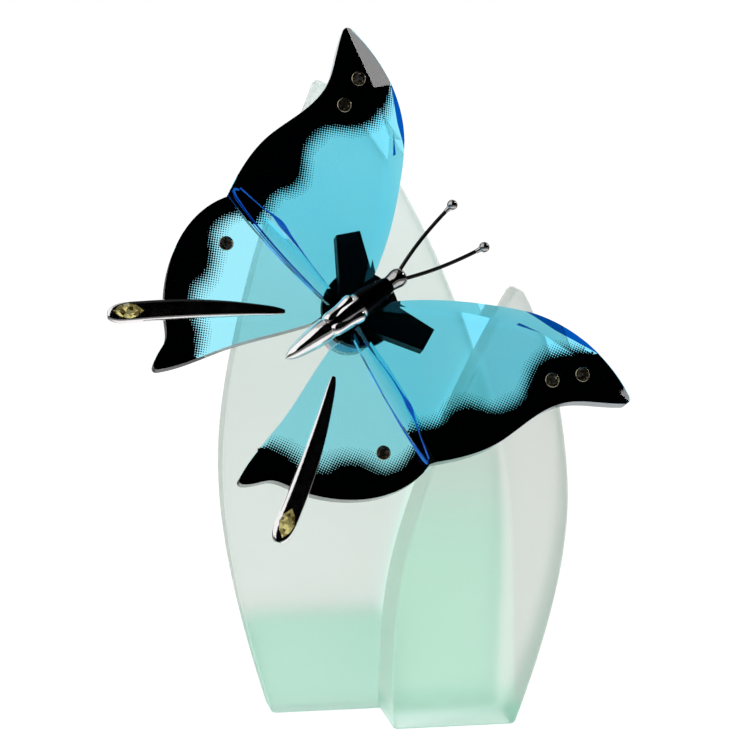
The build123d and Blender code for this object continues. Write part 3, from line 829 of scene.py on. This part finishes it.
def make_dot_tree():
    """Geometry Nodes: a grid of discs on the fading strip, largest at its solid edge and shrinking towards the
    other.
    """
    inputs = {
        "Geometry": "NodeSocketGeometry",
        "Dot Pitch": dot_pitch,
        "Largest Dot": largest_dot,
        "Dot Thickness": print_thickness,
        "Screen Size": screen_size,
        "Screen Turn": screen_turns["right"],
        "Ink": "NodeSocketMaterial",
    }
    tree, entry, leave = start_group(
        "halftone_dots", "GeometryNodeTree", inputs, ["Geometry"], "NodeSocketGeometry"
    )
    rows = math_value(tree, "DIVIDE", entry["Screen Size"], entry["Dot Pitch"])
    screen = add_node(
        tree,
        "GeometryNodeMeshGrid",
        {
            "Size X": entry["Screen Size"],
            "Size Y": entry["Screen Size"],
            "Vertices X": rows,
            "Vertices Y": rows,
        },
    )
    turn = add_node(tree, "ShaderNodeCombineXYZ", {"Z": entry["Screen Turn"]})
    turned = add_node(
        tree,
        "GeometryNodeTransform",
        {"Geometry": screen.outputs["Mesh"], "Rotation": turn.outputs["Vector"]},
    )
    points = add_node(tree, "GeometryNodeMeshToPoints", {"Mesh": turned.outputs["Geometry"]})
    fade = add_node(tree, "GeometryNodeInputNamedAttribute", {"Name": "fade"}, data_type="FLOAT")
    place = add_node(tree, "GeometryNodeInputPosition")
    above = add_node(
        tree,
        "ShaderNodeVectorMath",
        {0: place.outputs["Position"], 1: (0, 0, 1 * MM)},
        operation="ADD",
    )
    landing = add_node(
        tree,
        "GeometryNodeRaycast",
        {
            "Target Geometry": entry["Geometry"],
            "Attribute": fade.outputs["Attribute"],
            "Source Position": above.outputs["Vector"],
            "Ray Direction": (0, 0, -1),
            "Ray Length": 2 * MM,
        },
        data_type="FLOAT",
    )
    tone = add_node(
        tree,
        "GeometryNodeStoreNamedAttribute",
        {"Geometry": points.outputs["Points"], "Name": "tone", "Value": landing.outputs["Attribute"]},
        data_type="FLOAT",
        domain="POINT",
    )
    missed = add_node(tree, "FunctionNodeBooleanMath", {0: landing.outputs["Is Hit"]}, operation="NOT")
    kept = add_node(
        tree,
        "GeometryNodeDeleteGeometry",
        {"Geometry": tone.outputs["Geometry"], "Selection": missed.outputs["Boolean"]},
        domain="POINT",
    )
    disc = add_node(
        tree,
        "GeometryNodeMeshCylinder",
        {"Vertices": 8, "Radius": entry["Largest Dot"], "Depth": entry["Dot Thickness"]},
        fill_type="NGON",
    )
    stored = add_node(tree, "GeometryNodeInputNamedAttribute", {"Name": "tone"}, data_type="FLOAT")
    share = add_node(
        tree,
        "ShaderNodeMapRange",
        {"Value": stored.outputs["Attribute"], "To Min": smallest_share},
    )
    spread = add_node(tree, "ShaderNodeCombineXYZ", {"X": share.outputs[0], "Y": share.outputs[0], "Z": 1.0})
    dots = add_node(
        tree,
        "GeometryNodeInstanceOnPoints",
        {
            "Points": kept.outputs["Geometry"],
            "Instance": disc.outputs["Mesh"],
            "Scale": spread.outputs["Vector"],
        },
    )
    real = add_node(tree, "GeometryNodeRealizeInstances", {"Geometry": dots.outputs["Instances"]})
    inked = add_node(
        tree,
        "GeometryNodeSetMaterial",
        {"Geometry": real.outputs["Geometry"], "Material": entry["Ink"]},
    )
    tree.links.new(inked.outputs["Geometry"], leave["Geometry"])
    return tree


dot_tree = make_dot_tree()


def is_inside(spot, outline):
    """Whether a place lies inside a closed outline."""
    crossings = 0
    for a, b in zip(outline, outline[1:] + outline[:1]):
        if (a.y > spot.y) != (b.y > spot.y):
            crossings += spot.x < a.x + (b.x - a.x) * (spot.y - a.y) / (b.y - a.y)
    return crossings % 2 == 1


def dot_mesh(edge_line, fades, inward, turn, outline):
    """Plain mesh of halftone dots beside the solid print's inner edge, in wing sheet coordinates."""
    ground = moved_inwards(outline, dot_pitch / 2)
    verts = []
    tones = []
    for i, here in enumerate(edge_line):
        if not is_inside(here, ground):
            continue
        along = (edge_line[min(i + 1, len(edge_line) - 1)] - edge_line[max(i - 1, 0)]).normalized()
        side = Vector((-along.y, along.x))
        if side.dot(inward - here) < 0:
            side = -side
        fade = fades[i]
        while fade > dot_pitch / 4 and not is_inside(here + side * fade, ground):
            fade *= fade_trim
        outer = here + side * fade
        overlap = here - side * dot_pitch
        verts += [(overlap.x, overlap.y, 0), (here.x, here.y, 0), (outer.x, outer.y, 0)]
        tones += [1.0, 1.0, 0.0]
    faces = []
    for row in range(0, len(verts) - 3, 3):
        faces += [(row, row + 3, row + 4, row + 1), (row + 1, row + 4, row + 5, row + 2)]
    strip_mesh = bpy.data.meshes.new("fade_strip")
    strip_mesh.from_pydata(verts, [], faces)
    strip_mesh.attributes.new("fade", "FLOAT", "POINT").data.foreach_set("value", tones)
    values = {
        "Dot Pitch": dot_pitch,
        "Largest Dot": largest_dot,
        "Dot Thickness": print_thickness,
        "Screen Size": screen_size,
        "Screen Turn": turn,
        "Ink": ink,
    }
    return mesh_from_nodes("fade_strip", strip_mesh, dot_tree, values)


def full_wall(outline, places, side, node):
    """Part of the printed margin whose wall has the crystal's full height."""
    if node.startswith("fore"):
        tip = max(places, key=lambda i: outline[i].x * side + outline[i].y)
        start = places.index(tip) + rows_past_tip
        return [i for i in places[start:] if outline[i].y > forewing_wall_ahead_of]
    low = min(places, key=lambda i: outline[i].y)
    return [i for i in places[: places.index(low) + 1] if outline[i].y < hindwing_wall_behind]


def make_print(name, node, edge_points, fade_widths, side, floor, far_point, turn, wall_height, edges):
    """Solid margin and dots under one wing, with ink, and a matt grey skin inside its outer walls as painted
    reflection.
    """
    rows = [(x * MM * side, y * MM, w * MM) for (x, y), w in zip(edge_points, fade_widths)]
    line = smooth_line(rows, print_steps)
    edge_line = [Vector(row[:2]) for row in line]
    wing_outline = underside_outline(node)
    outline = moved_inwards(wing_outline, print_inset)
    far_place = Vector((far_point[0] * side, far_point[1])) * MM
    rim = outline_between(outline, edge_line[0], edge_line[-1], far_place)
    root = Vector((side * wing_root, 0))
    low = floor - forewing_top + print_gap
    margin = bmesh.new()
    flat_plate(margin, rim + edge_line[::-1], low, low + print_thickness)
    dots = dot_mesh(edge_line, [row[2] for row in line], root, turn, wing_outline)
    dots.transform(Matrix.Translation((0, 0, low + print_thickness / 2)))
    margin.from_mesh(dots)
    skin = moved_inwards(wing_outline, edge_inset)
    under_skin = moved_inwards(wing_outline, edge_inset + edge_thickness)
    backing = moved_inwards(wing_outline, print_inset - edge_thickness)
    places = [outline.index(p) for p in rim]
    upright_strip(margin, [backing[i] for i in places], rim, low, low + low_wall)
    full = full_wall(wing_outline, places, side, node)
    top = low + wall_height
    upright_strip(margin, [backing[i] for i in full], [outline[i] for i in full], low, top)
    # Painted reflection: a grey strip just inside the full-height outer wall
    upright_strip(edges, [skin[i] for i in full], [under_skin[i] for i in full], low, top)
    bmesh.ops.recalc_face_normals(margin, faces=margin.faces)
    mesh = bpy.data.meshes.new(name)
    margin.to_mesh(mesh)
    margin.free()
    mesh.transform(wing_sheet)
    mesh.materials.clear()
    mesh.materials.append(ink)
    piece = bpy.data.objects.new(name, mesh)
    bpy.context.scene.collection.objects.link(piece)
    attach(piece, "butterfly")


# Painted glints, thin blue strips inside the forewings' rear bevels: across, ahead and width in wing sheet
# millimetres
rear_glints = {
    "right": [(8.2, -0.8, 0.1), (19.5, -2.3, 0.2), (25.0, -2.8, 0.3), (30.5, -2.92, 0.6),
              (31.8, -2.85, 0.4)],
    "left": [(8.5, -0.8, 0.1), (16.3, -1.9, 0.15), (24.9, -2.75, 0.3), (30.5, -2.92, 0.55),
             (31.9, -2.6, 0.4)],
}
top_glints = {
    "right": [(5.9, 0.55, 0.1), (13.8, 0.75, 0.2), (18.4, 0.5, 0.4), (21.4, 0.2, 1.0), (24.5, -0.6, 0.35),
              (31.5, -2.6, 0.3)],
    "left": [(7.4, 1.15, 0.12), (13.0, 0.98, 0.16), (18.1, 0.85, 0.6), (21.3, 0.8, 1.15), (23.6, 0.5, 0.5),
             (26.0, -0.3, 0.2), (31.6, -1.6, 0.35)],
}
end_glints = {
    "right": [(31.7, -3.0, 0.35), (31.9, -2.7, 0.4), (31.4, -2.5, 0.3)],
    "left": [(31.8, -2.9, 0.4), (32.2, -2.2, 0.5), (31.6, -1.6, 0.35)],
}
rear_glint_level = -3.0 * MM
end_glint_level = -3.1 * MM
top_glint_level = -0.6 * MM

painted_wall_strips = bmesh.new()
glints = bmesh.new()
forewing_wall = forewing_top - forewing_floor - wall_gap
hindwing_wall = hindwing_top - hindwing_floor - wall_gap
for side_name, side in (("right", 1), ("left", -1)):
    tapered_strip(glints, rear_glints[side_name], side, rear_glint_level)
    tapered_strip(glints, end_glints[side_name], side, end_glint_level)
    tapered_strip(glints, top_glints[side_name], side, top_glint_level)
    make_print(
        f"forewing_print_{side_name}", f"forewing_{side_name}", forewing_edge, forewing_fade, side,
        forewing_floor, forewing_far, screen_turns[side_name], forewing_wall, painted_wall_strips,
    )
    make_print(
        f"hindwing_print_{side_name}", f"hindwing_{side_name}", hindwing_edge, hindwing_fade, side,
        hindwing_floor, hindwing_far, screen_turns[side_name], hindwing_wall, painted_wall_strips,
    )
shells = [("painted_wall_strips", painted_wall_strips, painted_wall_reflection), ("edge_glints", glints, blue_glint)]
for name, shell, material in shells:
    bmesh.ops.recalc_face_normals(shell, faces=shell.faces)
    shell_mesh = bpy.data.meshes.new(name)
    shell.to_mesh(shell_mesh)
    shell.free()
    shell_mesh.transform(wing_sheet)
    shell_mesh.materials.append(material)
    piece = bpy.data.objects.new(name, shell_mesh)
    bpy.context.scene.collection.objects.link(piece)
    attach(piece, "butterfly")


# Rims round the stones, one ring for each, lying on the wings' tops
ring_radius = 1.3 * MM
rim_wire_radius = 0.12 * MM


def make_rim_tree():
    """Geometry Nodes: a round ring on every point of the mesh."""
    inputs = {
        "Geometry": "NodeSocketGeometry",
        "Ring Radius": ring_radius,
        "Wire Radius": rim_wire_radius,
        "Plating": "NodeSocketMaterial",
    }
    tree, entry, leave = start_group(
        "stone_rims", "GeometryNodeTree", inputs, ["Geometry"], "NodeSocketGeometry"
    )
    circle = "GeometryNodeCurvePrimitiveCircle"
    ring = add_node(tree, circle, {"Resolution": 40, "Radius": entry["Ring Radius"]})
    wire = add_node(tree, circle, {"Resolution": 10, "Radius": entry["Wire Radius"]})
    tube = add_node(
        tree,
        "GeometryNodeCurveToMesh",
        {"Curve": ring.outputs["Curve"], "Profile Curve": wire.outputs["Curve"]},
    )
    rims = add_node(
        tree,
        "GeometryNodeInstanceOnPoints",
        {"Points": entry["Geometry"], "Instance": tube.outputs["Mesh"]},
    )
    real = add_node(tree, "GeometryNodeRealizeInstances", {"Geometry": rims.outputs["Instances"]})
    smooth = add_node(tree, "GeometryNodeSetShadeSmooth", {"Geometry": real.outputs["Geometry"]})
    plated = add_node(
        tree,
        "GeometryNodeSetMaterial",
        {"Geometry": smooth.outputs["Geometry"], "Material": entry["Plating"]},
    )
    tree.links.new(plated.outputs["Geometry"], leave["Geometry"])
    return tree


def make_stone_rims():
    """One mesh of six rings on the butterfly."""
    places = []
    for node in frame["nodes"]:
        if "stone" in node:
            spot = to_wing_sheet @ middle(node)
            level = hindwing_top - forewing_top if node.startswith("hind") else 0.0
            places.append((spot.x, spot.y, level))
    mesh = bpy.data.meshes.new("stone_places")
    mesh.from_pydata(places, [], [])
    values = {"Ring Radius": ring_radius, "Wire Radius": rim_wire_radius, "Plating": rim_plate}
    rims = mesh_from_nodes("stone_places", mesh, make_rim_tree(), values)
    rims.transform(wing_sheet)
    piece = bpy.data.objects.new("stone_rims", rims)
    bpy.context.scene.collection.objects.link(piece)
    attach(piece, "butterfly")


make_stone_rims()


# Studio: white to the camera, and cards that reflections see. The wing card is seen through glass too
def bright_when_seen(tree, glow):
    """Full strength to the camera and through glass, and the given glow elsewhere."""
    path = add_node(tree, "ShaderNodeLightPath")
    seen = math_value(tree, "MAXIMUM", path.outputs["Is Camera Ray"], path.outputs["Is Transmission Ray"])
    return math_value(tree, "MAXIMUM", glow, seen)


def studio_world():
    """White to the camera and through glass; in reflections white at the horizon and dimmer overhead."""
    world = bpy.data.worlds.new("studio")
    bpy.context.scene.world = world
    world.use_nodes = True
    tree = world.node_tree
    direction = add_node(tree, "ShaderNodeTexCoord").outputs["Generated"]
    split = add_node(tree, "ShaderNodeSeparateXYZ", {"Vector": direction})
    steep = math_value(tree, "ABSOLUTE", split.outputs["Z"])
    glow = smooth_step(tree, steep, 0.3, 0.85, 1.0, 0.5)
    sky = tree.nodes["Background"]
    sky.inputs["Color"].default_value = (1, 1, 1, 1)
    tree.links.new(bright_when_seen(tree, glow), sky.inputs["Strength"])


def card_material(name, glow):
    material, _, shader, _ = start_material(name)
    set_sockets(
        shader,
        {
            "Base Color": (0, 0, 0, 1),
            "Specular IOR Level": 0.0,
            "Emission Color": (1, 1, 1, 1),
            "Emission Strength": glow,
        },
    )
    return material


def floor_material():
    """White to the camera and through glass; in reflections it dims away from a spot at the right."""
    material, tree, shader, place = start_material("floor_white")
    set_sockets(
        shader,
        {"Base Color": (0.1, 0.1, 0.1, 1), "Specular IOR Level": 0.0, "Emission Color": (1, 1, 1, 1)},
    )
    reach = add_node(tree, "ShaderNodeVectorMath", {0: place, 1: (0.05, -0.04, 0)}, operation="DISTANCE")
    glow = smooth_step(tree, reach.outputs["Value"], 0.1, 0.21, 0.95, 0.1)
    tree.links.new(bright_when_seen(tree, glow), shader.inputs["Emission Strength"])
    return material


def stage_sheet(name, verts, faces, material):
    mesh = bpy.data.meshes.new(name)
    mesh.from_pydata([tuple(v) for v in verts], [], faces)
    mesh.materials.append(material)
    sheet = bpy.data.objects.new(name, mesh)
    bpy.context.scene.collection.objects.link(sheet)
    return sheet


def hide_from_view(card, through_glass):
    card.visible_camera = False
    card.visible_diffuse = False
    card.visible_transmission = through_glass
    card.visible_shadow = False


studio_middle = Vector((0, 0, 80 * MM))


def towards(azimuth, elevation):
    """Direction from the ornament, with azimuth 0 at the front and positive to the right."""
    a = math.radians(azimuth)
    e = math.radians(elevation)
    return Vector((math.sin(a) * math.cos(e), -math.cos(a) * math.cos(e), math.sin(e)))


def curved_card(name, azimuths, elevations, distance, material, through_glass=False):
    """Card bent round the ornament, between two azimuths and two elevations in degrees."""
    columns = 13
    rows = 13
    verts = []
    for row in range(rows):
        elevation = elevations[0] + (elevations[1] - elevations[0]) * row / (rows - 1)
        for column in range(columns):
            azimuth = azimuths[0] + (azimuths[1] - azimuths[0]) * column / (columns - 1)
            verts.append(studio_middle + towards(azimuth, elevation) * distance)
    faces = []
    for row in range(rows - 1):
        for column in range(columns - 1):
            i = row * columns + column
            faces.append((i, i + 1, i + columns + 1, i + columns))
    hide_from_view(stage_sheet(name, verts, faces, material), through_glass)


studio_world()
floor_half = 3.0
floor_corners = [(x * floor_half, y * floor_half, 0) for x, y in ((-1, -1), (1, -1), (1, 1), (-1, 1))]
stage_sheet("studio_floor", floor_corners, [(0, 1, 2, 3)], floor_material())
curved_card("front_card", (-22, 112), (-4, 60), 2.0, card_material("front_black", 0.0))
curved_card("low_card", (-75, -20), (-4, 12), 2.0, card_material("low_black", 0.0))
curved_card("left_light", (-105, -24), (12, 66), 1.9, card_material("left_white", 1.0))
curved_card("wing_card", (-2, 25), (19, 42), 1.7, card_material("wing_black", 0.0), through_glass=True)
curved_card("top_card", (-20, 180), (58, 89.5), 1.95, card_material("top_black", 0.02))
curved_card("tip_light", (71, 86), (34, 44), 1.8, card_material("tip_white", 5.0))

# Camera at the photograph's viewing angle
camera_place = Vector((-104.31, -587.61, 162.65)) * MM
view_azimuth = math.radians(-10)
view_elevation = math.radians(9)
view_line = Vector((
    -math.sin(view_azimuth) * math.cos(view_elevation),
    math.cos(view_azimuth) * math.cos(view_elevation),
    -math.sin(view_elevation),
))
camera_data = bpy.data.cameras.new("photo_camera")
camera_data.lens = 144
camera_data.sensor_width = 36
camera_data.clip_start = 0.01
camera = bpy.data.objects.new("photo_camera", camera_data)
camera.location = camera_place
camera.rotation_euler = view_line.to_track_quat("-Z", "Y").to_euler()
bpy.context.scene.collection.objects.link(camera)
bpy.context.scene.camera = camera

scene = bpy.context.scene
scene.view_settings.view_transform = "Standard"
scene.cycles.max_bounces = 24
scene.cycles.transmission_bounces = 20
scene.cycles.glossy_bounces = 8
scene.cycles.volume_bounces = 0
